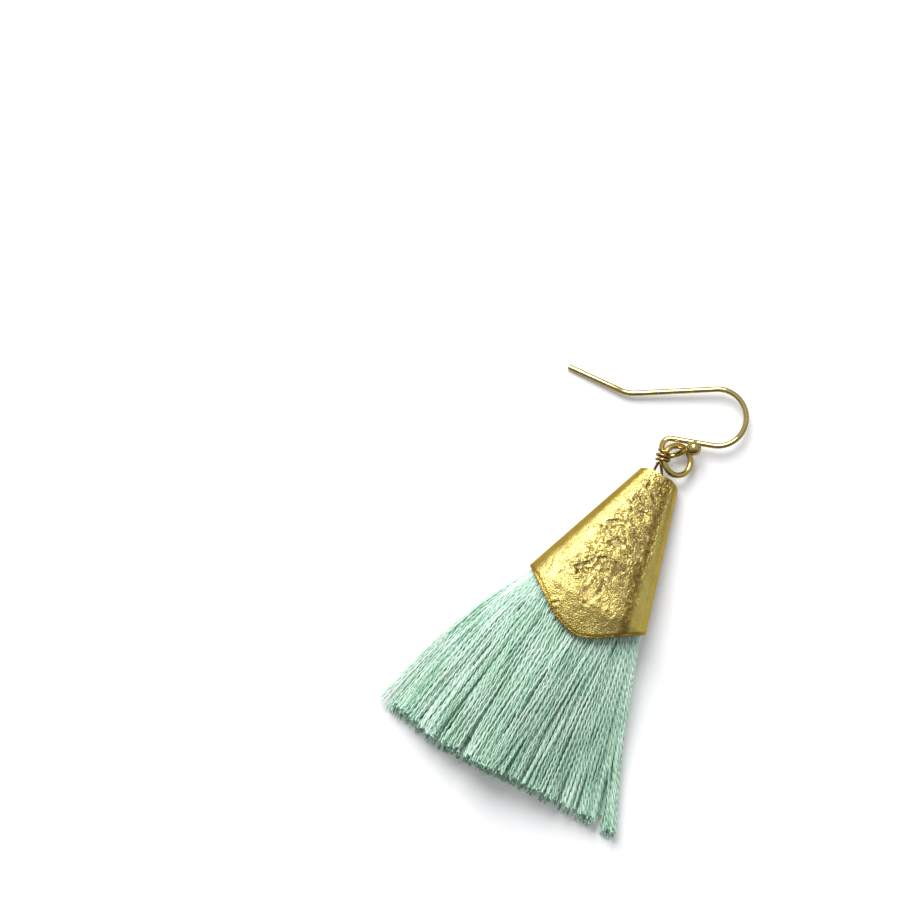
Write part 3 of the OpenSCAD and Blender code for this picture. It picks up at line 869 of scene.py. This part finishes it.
# The tone ramp gives painted shade to low relief and a painted highlight to high relief, over the tarnish
# patches.
height_mix = cl.calc("MULTIPLY_ADD", marks["Patches"], 0.3, relief_map["X"])
tone = cl.ramp(height_mix, [
    (0.42, (0.33, 0.23, 0.036)), (0.60, (0.46, 0.34, 0.052)), (0.82, (0.80, 0.65, 0.14))])
# Painted shade: creases, the lip's groove and its rim are coloured brown.
creased = cl.mix(relief_map["Y"], tone, PAINTED_CREASE_SHADE)
# Painted shade: a brown laid over the stripe and the flanks.
with_painted_shade = cl.mix(skin_map["Y"], creased, PAINTED_SHADE_BROWN)
print("colour nodes:", len(cap_finish.node_tree.nodes))

# %% [markdown]
# The finest wrinkles are too small for the mesh, so they are bump. A fold runs where a noise passes
# through its middle value, which draws thin winding lines, and a second noise breaks them up. Three sizes
# are drawn out down the cone and end with the busy skin. The folds are also coloured a little brown, as
# painted shade in them.

# %% Fine folds in the skin
FOLD_ROWS = [(700.0, 0.03, 1.0), (1400.0, 0.04, 0.8), (2600.0, 0.055, 0.6)]  # size, width, depth
FOLD_SHADE_SHARE, FOLD_BUMP, FOLD_HEIGHT = 0.55, 0.9, 0.1 * MM
PAINTED_FOLD_SHADE = (0.26, 0.18, 0.04, 1)
where, drawn_down = cl.place(), cl.place(stretch=0.55)
crinkle = cl.calc("MULTIPLY", cl.cloud(where, 2300.0, 3.0, Roughness=0.6), 0.3)
folds = 0.0
for size, width, depth in FOLD_ROWS:
    lines = cl.cloud(drawn_down, size, 2.5, Distortion=0.5)
    off_line = cl.calc("ABSOLUTE", cl.calc("SUBTRACT", lines, 0.5))
    there = cl.spread(cl.cloud(where, 0.9 * size, 1.0), (0.38, 0.52))
    fold = cl.calc("MULTIPLY", cl.spread(off_line, (0.0, width), (1.0, 0.0), "SMOOTHSTEP"), there)
    crinkle = cl.calc("MULTIPLY_ADD", fold, -depth, crinkle)
    folds = cl.calc("MAXIMUM", fold, folds)
# Painted shade: the folds are coloured browner where the skin is busy.
fold_shade = cl.calc("MULTIPLY", cl.calc("MULTIPLY", folds, skin_map["X"]), FOLD_SHADE_SHARE)
crinkled = cl.add("ShaderNodeBump", {
    "Height": crinkle, "Strength": cl.calc("MULTIPLY", skin_map["X"], FOLD_BUMP),
    "Distance": FOLD_HEIGHT, "Normal": marks["Normal"]}).outputs["Normal"]
print("folds in", len(FOLD_ROWS), "sizes")

# %% [markdown]
# A clear coat gives the near-white highlight that bare yellow metal can't. Its weight is high on the face
# and goes down where the brown painted shade lies or the skin is smooth.

# %% The cap's shader
on_face = cl.spread(skin_map["X"], (0.0, 0.18), (0.0, 0.9))
cl.fill(shade, {
    "Metallic": 1.0, "Specular Tint": RIM_TINT, "Coat IOR": 1.8, "Coat Roughness": 0.22,
    "Base Color": cl.mix(fold_shade, with_painted_shade, PAINTED_FOLD_SHADE),
    "Roughness": cl.spread(height_mix, (0.45, 0.8), (0.36, 0.25)),
    "Coat Weight": cl.calc("MULTIPLY", on_face, cl.calc("SUBTRACT", 1.0, skin_map["Y"])),
    "Normal": crinkled, "Coat Normal": crinkled})
hand_over(cap, "hammered_cap", cap_finish, "cone_cap")

# %% [markdown]
# ## Tassel
#
# A tassel is some two hundred threads folded over the wire's eye, so about four hundred ends hang
# from the cone. They fan out, gather in locks with gaps between them, and are cut across at the
# bottom. First come the outlines that they keep to: how far the fan reaches, how it falls to the
# table, and where it is cut. The middle threads hang straight and only the outer ones fan out.

# %% The fringe's outline
FAN_ROWS = np.array([  # share of the way down, fan to the left, fan to the right
    [0, 0, 0], [0.15, 0.25, 0.15], [0.3, 0.47, 0.31], [0.5, 0.68, 0.51], [0.72, 0.86, 0.76], [0.93, 1, 1]])
FALL_ROWS = np.array([  # share of the way down, fall of the lower face, fall of the upper face
    [0, 0, 0], [0.1, 0.45, 0.08], [0.22, 0.88, 0.25], [0.4, 1, 0.55], [0.6, 1, 0.85], [0.8, 1, 1]])
LENGTH_ROWS = np.array([  # place across, share of the length
    [-1, 0.95], [-0.7, 1], [-0.3, 0.995], [0.1, 0.985], [0.5, 0.97], [0.85, 0.955], [1, 0.95]])
FILL_GAP = 0.25
FAN_POWER = 3
EDGE_T = 0.34
THREAD_R = 0.195
MOUTH_HALF_W = CAP_MOUTH_W / 2 - CAP_WALL - FILL_GAP


def across(u, d):
    """How far from the middle line the place u, from -1 to 1, is at the depth d."""
    share = (d - CAP_SIDE_LEN) / TASSEL_LEN
    fan = from_rows(FAN_ROWS, share, 1 if u < 0 else 2)
    far = (FAN_LEFT if u < 0 else FAN_RIGHT) - THREAD_R
    in_cap = cap_half_w(np.minimum(d, CAP_SIDE_LEN)) - CAP_WALL - FILL_GAP
    return in_cap * u + math.copysign(abs(u) ** FAN_POWER, u) * (far - MOUTH_HALF_W) * fan


def lip_at(u):
    return CAP_LIP * float(from_rows(LIP_ROWS, u))


def faces_z(u, d):
    """Height of the fringe's lower and upper face."""
    in_cap = cap_half_t(np.minimum(d, CAP_SIDE_LEN))
    arch = math.sqrt(max(0.0, 1 - u * u))
    past_lip = (d - CAP_SIDE_LEN - lip_at(u)) / TASSEL_LEN
    room = in_cap - CAP_WALL - FILL_GAP
    low = between(in_cap - room * arch, 0 * d, from_rows(FALL_ROWS, past_lip, 1))
    top = FRINGE_T * between(EDGE_T, 1, 1 - u * u)
    return low, between(in_cap + room * arch, top, from_rows(FALL_ROWS, past_lip, 2))


def fringe_end(u):
    return CAP_SIDE_LEN + TASSEL_LEN * float(from_rows(LENGTH_ROWS, u))


print("fringe's cut from", float(across(-1, fringe_end(-1))), "to", float(across(1, fringe_end(1))))

# %% [markdown]
# A strand is two plies side by side, which is why it sparkles in dashes. Its section is a soft
# figure of eight that turns along the path. A curve with a bevel object would do for one, but five
# hundred are slow, so the rings of points are worked out. The section is listed clockwise, seen
# along the path, so that the faces point outwards.

# %% A twisted strand along a path
THREAD_SEED = 7
SECTION = np.array([(1, 0), (0.68, -0.52), (0, -0.4), (-0.68, -0.52),
                    (-1, 0), (-0.68, 0.52), (0, 0.4), (0.68, 0.52)])
dice = random.Random(THREAD_SEED)


def strand(path, radius, pitch=2.2, never_along=(0.0, 0.0, 1.0)):
    """The rings of points round a path that nowhere runs along never_along."""
    step = np.gradient(path, axis=0)
    step /= np.linalg.norm(step, axis=1, keepdims=True)
    side = np.cross(step, never_along)
    side /= np.linalg.norm(side, axis=1, keepdims=True)
    up = np.cross(side, step)
    run = np.concatenate([[0], np.cumsum(np.linalg.norm(np.diff(path, axis=0), axis=1))])
    a = dice.uniform(0, 6.28) + 2 * np.pi * run / pitch + 0.9 * np.sin(dice.uniform(0.4, 0.8) * run)
    wide, tall = SECTION[:, 0][None], SECTION[:, 1][None]
    across_it = wide * np.cos(a)[:, None] - tall * np.sin(a)[:, None]
    up_it = wide * np.sin(a)[:, None] + tall * np.cos(a)[:, None]
    return path[:, None] + radius * (across_it[:, :, None] * side[:, None]
                                     + up_it[:, :, None] * up[:, None])


print("strand: section of", len(SECTION), "points,", 2 * THREAD_R, "mm wide")

# %% [markdown]
# Five hundred objects would be slow, so many strands become one mesh. Two UV maps go with it: each
# strand's tone and the run along it, and how far a point stands out, which tells the crests of the
# plies from the groove between them.

# %% Join strands to one mesh
HAIR_CREST = 0.8


def tube_faces(first, count, sides):
    """The faces of a closed tube of count rings, whose points start at first."""
    faces = [tuple(range(first + sides - 1, first - 1, -1))]
    for at in range(first, first + (count - 1) * sides, sides):
        faces.extend((at + k, at + (k + 1) % sides, at + sides + (k + 1) % sides, at + sides + k)
                     for k in range(sides))
    return faces + [tuple(range(first + (count - 1) * sides, first + count * sides))]


def mesh_piece(name, points, faces):
    mesh = bpy.data.meshes.new(name)
    mesh.from_pydata(points, [], faces)
    made = bpy.data.objects.new(name, mesh)
    bpy.context.collection.objects.link(made)
    return made


def join_strands(name, strands):
    """strands is a list of (rings, tone)."""
    points, faces, marks, crests = [], [], [], []
    for rings, tone in strands:
        count, sides = rings.shape[:2]
        faces += tube_faces(len(points), count, sides)
        points.extend(rings.reshape(-1, 3))
        along = np.repeat(np.linspace(0, 1, count), sides)
        marks.extend(np.stack([np.full(count * sides, tone), along], 1))
        plied = sides == len(SECTION)
        crest = np.linalg.norm(SECTION, axis=1) if plied else np.full(sides, HAIR_CREST)
        crests.extend((c, 0.0) for c in np.tile(crest, count))
    made = mesh_piece(name, ((np.array(points) - [*MIDDLE, 0]) * MM).tolist(), faces)
    keep_as_uv(made, "Thread", marks)
    keep_as_uv(made, "Crest", crests)
    shade_smoothly(made, up_to=80)
    print(f"{name}: {len(strands)} strands")
    return made


# %% [markdown]
# Threads cling together in locks, and each gap pushes the threads beside it apart. The long gaps
# are read from the picture and the short ones are strewn. The last long one, near the right
# corner, parts all layers, and the others only the top ones.

# %% Gaps between the locks
LONG_GAPS = [  # place at the cut, where it opens, half its width at the cut
    (-15.4, 36, 0.5), (-12.6, 32, 0.35), (-10.0, 38, 0.35), (-6.9, 27, 0.2), (-4.3, 38, 0.3),
    (-2.2, 30, 0.25), (-0.4, 31, 0.55), (2.5, 38, 0.6), (4.9, 29, 0.35), (5.8, 42, 0.3),
    (7.2, 25, 0.4), (8.9, 30, 0.35), (10.8, 38, 0.45), (12.2, 27, 0.45), (13.8, 34, 0.4),
    (15.6, 33, 0.4), (17.4, 36, 1.35)]
SHORT_GAPS = 110
PARTS_ALL = len(LONG_GAPS) - 1
CUT_D = CAP_SIDE_LEN + TASSEL_LEN
ends = [(float(across(u, CUT_D)), u) for u in np.linspace(-1, 1, 401)]
gap_rows = [(float(np.interp(x, *zip(*ends))), opens, CUT_D, half) for x, opens, half in LONG_GAPS]
for _ in range(SHORT_GAPS):
    opens = dice.uniform(20, 42)
    gap_rows.append((dice.uniform(-0.97, 0.97), opens, opens + dice.uniform(2.5, 9),
                     dice.uniform(0.05, 0.18)))
print("gaps:", len(gap_rows))

# %% [markdown]
# A thread's place is two numbers: `u` across, from -1 to 1, and `v` from the lower face, 0, to the
# upper one, 1. It follows the fan's line, is pushed by the gaps, sways a little and drifts to one
# side. One that drifts far is lifted over its neighbours. None may go under the table.

# %% A thread's path
GAP_REACH = 0.9
ONLY_TOP = 7
SWAY, RIPPLE = 0.13, 0.02


def thread_path(u, v, from_d, to_d, step=0.3, drift=0.0):
    d = np.linspace(from_d, to_d, max(4, int((to_d - from_d) / step)))
    down = np.clip((d - CAP_SIDE_LEN) / TASSEL_LEN, 0, 1)
    x = across(u, d)
    pushed = 0 * d
    for k, (gap_u, opens, closes, half) in enumerate(gap_rows):
        off = x - across(gap_u, d)
        if np.abs(off).min() < 4:
            t = np.clip((d - opens) / (closes - opens), 0, 1)
            width = half * (ease(t) if k < len(LONG_GAPS) else np.sin(math.pi * t))
            layers = 1 if k == PARTS_ALL else v ** ONLY_TOP
            pushed += np.sign(off) * width * np.exp(-np.abs(off) / GAP_REACH) * layers
    sway = [dice.uniform(-1, 1) for _ in range(4)]
    wave = ease(down * 3) * (SWAY * np.sin(0.45 * d + 6 * sway[0]) * sway[1]
                             + RIPPLE * np.sin(2.1 * d + 6 * sway[2]))
    low, high = faces_z(u, d)
    z = between(low + THREAD_R, high - THREAD_R, v) + 0.8 * wave * sway[3] + 0.15 * abs(drift) * down
    return np.stack([x + pushed + wave + drift * down ** 2, -d, np.maximum(z, THREAD_R + 0.01)], 1)


print("the fringe is", round(float(faces_z(0.0, CUT_D)[1]), 2), "mm thick at the cut")

# %% [markdown]
# The top layer shows, a second under it closes the view, and one lies on the table. Between them
# only the ends show, so those threads are short, except at the sides. Two in five cross their
# neighbours, slow noise makes whole locks lean, and the cut slants: upper threads end sooner.

# %% Lay the layers
DENSE_LEFT, DENSE_RIGHT = 0.93, 0.99
IN_CAP, CUT_SLANT = 2.5, 1.3
CROSSING = 0.4
LOCK_LEAN = 0.9
SHORT, FULL_PAST = 9.0, 0.8


def crowded(share):
    """Even steps of share give places u that crowd towards both sides."""
    t = 2 * share - 1
    return t * (1.5 - 0.5 * t * t)


def lay_layer(count, v_from, v_to, seen=None, full_past=1.0):
    """seen is how much of a thread is made, from its end up; None makes it from the cone down."""
    strands = []
    for k in range(count):
        u = crowded((k + 0.5 + dice.uniform(-0.3, 0.3)) / count)
        u *= DENSE_LEFT if u < 0 else DENSE_RIGHT
        v = between(v_from, v_to, (0.2, 0.8, 0.0, 1.0, 0.5)[k % 5])
        end = fringe_end(u) - CUT_SLANT * v + dice.uniform(-0.3, 0.3)
        full = seen is None or abs(u) > full_past
        start = CAP_SIDE_LEN + lip_at(u) - IN_CAP if full else end - seen
        if dice.random() < CROSSING:
            drift = dice.choice((-1, 1)) * dice.uniform(0.3, 1.0)
        else:
            drift = dice.uniform(-0.15, 0.15)
        drift += LOCK_LEAN * noise.noise(Vector((9 * u, 2.5 * v, 40)))
        path = thread_path(u, v + dice.uniform(-0.02, 0.02), start, end, drift=drift)
        rings = strand(path, THREAD_R * dice.uniform(0.9, 1.08), dice.uniform(2.0, 2.7))
        strands.append((rings, dice.random()))
    return strands


upper = join_strands("upper", lay_layer(114, 0.93, 1.0))
second = join_strands("second", lay_layer(100, 0.88, 0.93))
lower = join_strands("lower", lay_layer(84, 0.0, 0.08))
inner_strands = []
for v in (0.66, 0.5, 0.34, 0.18):
    inner_strands += lay_layer(48, v - 0.07, v + 0.05, seen=SHORT, full_past=FULL_PAST)
inner = join_strands("inner", inner_strands)

# %% [markdown]
# A few loose threads stand off the left corner, each drifting from its place in the fringe to its
# own reach.

# %% Loose threads
LOOSE_REACH = (15.1, 15.2, 15.3, 15.2, 15.4, 15.3, 15.5, 15.9, 16.3, 17.0, 17.4, 17.6)
loose_strands = []
for k, reach in enumerate(LOOSE_REACH):
    u = -0.935 - 0.0054 * k
    end = fringe_end(u) + dice.uniform(-0.9, 0.2)
    path = thread_path(u, (0.95, 0.8, 0.6)[k % 3], CAP_SIDE_LEN - 3, end,
                       drift=-reach - float(across(u, end)))
    loose_strands.append((strand(path, THREAD_R * 0.75, 2.6), dice.random()))
print("loose threads:", len(loose_strands))

# %% [markdown]
# Cut silk frays. A particle system could grow the hairs, but they have to sit on the ends, so up
# to three start inside each thread's tip and leave it in their own direction. They have three
# sides, being finer than a pixel.

# %% Frayed ends
HAIR_R, HAIRS = 0.045, 3
TIDY_PAST, TIDY_SHARE = 3, 0.9
HAIR_TAPER = np.array([1, 1, 0.8, 0.3])[:, None, None]
hair_ring = np.array([(math.cos(a), 0.0, math.sin(a)) for a in (0.5, 2.6, 4.7)])
hairs = []
for rings, tone in (*lay_layer(150, 0.1, 1.0, seen=1.2), *lay_layer(150, 0.0, 0.9, seen=1.2),
                    *loose_strands):
    tip = rings[-1].mean(0)
    way = tip - rings[-3].mean(0)
    for _ in range(HAIRS):
        turn = np.array([dice.gauss(0, 0.35), -1.0, dice.gauss(0, 0.25)])
        if tip[0] > TIDY_PAST and dice.random() < TIDY_SHARE:
            continue
        run = np.linspace(-0.3, dice.uniform(0.1, 0.4), 4)[:, None]
        spine = tip + way / np.linalg.norm(way) * np.minimum(run, 0.1) + turn * np.maximum(run, 0) ** 1.3
        spine[:, 2] = np.maximum(spine[:, 2], 0.08)
        hairs.append((spine[:, None] + HAIR_R * HAIR_TAPER * hair_ring[None], tone))
loose = join_strands("loose", loose_strands)
frayed = join_strands("frayed", hairs)

# %% [markdown]
# ### The heart of the tassel
#
# Between the layers the real tassel is solid thread. A body fills it, so that no light shows through the
# gaps, and it is coloured darker than the threads as painted shade. It is a loft from the head under the
# wire's eye down to near the cut, and it keeps a share of the fringe's thickness at each depth.

# %% The heart, lofted
HEART_ROWS = [  # depth, share of the thickness
    (6.2, 0.5), (8, 0.7), (12, 0.75), (16, 0.75), (19.4, 0.72), (24, 0.7), (30, 0.66), (36, 0.64),
    (42, 0.6), (44, 0.3)]
HEART_SIDES, HEART_W = 40, 0.93
heart_points = []
for d, share_of in HEART_ROWS:
    for k in range(HEART_SIDES):
        a = 2 * math.pi * k / HEART_SIDES
        u = math.cos(a)
        low, high = (float(z) for z in faces_z(u, float(d)))
        bulge = math.copysign(min(1.0, abs(1.6 * math.sin(a))), math.sin(a))
        z = (low + high) / 2 + bulge * share_of * (high - low) / 2
        heart_points.append(spot(HEART_W * float(across(u, float(d))), -d, z))
heart = mesh_piece("heart", heart_points, tube_faces(0, len(HEART_ROWS), HEART_SIDES))
close_skin(heart)
shade_smoothly(heart, up_to=50)
print("heart:", len(heart_points), "points")

# %% [markdown]
# ### The fold
#
# At the top the threads go over the wire's eye and back down. A few bent threads show that through
# the cone's top. Their paths climb straight up for a moment, so their rings are squared to the
# direction across instead of the upright one.

# %% Threads folded over the eye
FOLDED, FOLD_HALF_W = 11, 0.62
fold_strands = []
for k in range(FOLDED):
    x = between(-FOLD_HALF_W, FOLD_HALF_W, k / (FOLDED - 1))
    reach = 0.42 + 0.25 * (k % 2)
    bend = [Vector((x, EYE_Y + reach * math.cos(a), EYE_Z + reach * math.sin(a)))
            for a in np.radians(range(-90, 91, 15))]
    below, above = (Vector((x * 1.6, EYE_Y - 2.6, EYE_Z + side * 0.9)) for side in (-1, 1))
    path = np.array([tuple(p) for p in through([below, *bend, above], 3)])
    fold_strands.append((strand(path, 0.2, never_along=(1.0, 0.0, 0.0)), dice.random()))
fold = join_strands("fold", fold_strands)

# %% [markdown]
# ## Silk thread
#
# Mint thread with a strong gloss. Each thread has its own tone, with soft clouds in it. Painted light
# makes it lighter under the cone, where the cap shades it, and again at the cut tips, with darker runs
# between. The plies get painted shade in the groove between them, where light that goes in doesn't come
# back, and a painted highlight on their crests.

# %% Thread finishes
CLOUD_SHARE = 0.3
RUN_PAINTED_LIGHT = [(0.35, (1.1, 1.07, 1.09)), (0.7, (0.92, 0.93, 0.92)), (0.985, (0.92, 0.93, 0.92)),
             (1.0, (1.0, 1.12, 1.04))]
PLY_LIGHT_AND_SHADE = [(0.5, (0.56, 0.62, 0.59)), (0.74, (0.9, 0.92, 0.9)), (1.0, (1.16, 1.12, 1.16))]


def thread_finish(name, shadow, body, light, rough):
    finish, links, shade = new_finish(name)
    thread = links.kept("Thread")
    clouds = links.cloud(links.place(stretch=0.35), 420.0, 3.0)
    tone = links.calc("MULTIPLY_ADD", thread["X"], CLOUD_SHARE, clouds)
    colour = links.ramp(tone, [(0.40, shadow), (0.62, body), (0.90, light)])
    # Painted highlight on the ply crests and painted shade in the groove between them.
    plied = links.mix(1.0, colour, links.ramp(links.kept("Crest")["X"], PLY_LIGHT_AND_SHADE), "MULTIPLY")
    links.fill(shade, {
        # Painted light: lighter under the cone, where the cap shades the threads, and at the shaded cut
        # tips.
        "Base Color": links.mix(1.0, plied, links.ramp(thread["Y"], RUN_PAINTED_LIGHT), "MULTIPLY"),
        "Roughness": rough, "IOR": 1.6, "Specular IOR Level": 1.0,
        "Sheen Weight": 0.2, "Sheen Roughness": 0.4})
    return finish


silk = thread_finish("mint_silk", (0.34, 0.60, 0.44), (0.54, 0.81, 0.62), (0.76, 0.96, 0.83), 0.27)
deep_silk = thread_finish("deep_silk", (0.40, 0.66, 0.50), (0.54, 0.79, 0.63), (0.68, 0.89, 0.76), 0.33)
cut_silk = thread_finish("cut_silk", (0.32, 0.64, 0.47), (0.50, 0.82, 0.64), (0.72, 0.98, 0.83), 0.35)
heart_silk, links, shade = new_finish("heart_silk")
# Painted shade: the heart is coloured darker than the threads round it.
stripes = links.cloud(links.place(stretch=0.06), 2500.0, 2.0)
links.fill(shade, {"Roughness": 0.7, "Base Color": links.ramp(
    stripes, [(0.35, (0.32, 0.56, 0.42)), (0.65, (0.50, 0.74, 0.59))])})
print("thread finishes:", silk.name, deep_silk.name, cut_silk.name, heart_silk.name)

# %% [markdown]
# All eight pieces stand for one CAD node, the tassel, whose solid is only its outer form.

# %% Hand the tassel over
for piece, name, finish in (
        (upper, "threads_upper", silk), (second, "threads_second", silk),
        (lower, "threads_lower", silk), (inner, "threads_inner", deep_silk),
        (heart, "tassel_heart", heart_silk), (fold, "threads_fold", deep_silk),
        (loose, "threads_loose", silk), (frayed, "threads_frayed", cut_silk)):
    hand_over(piece, name, finish, "tassel")
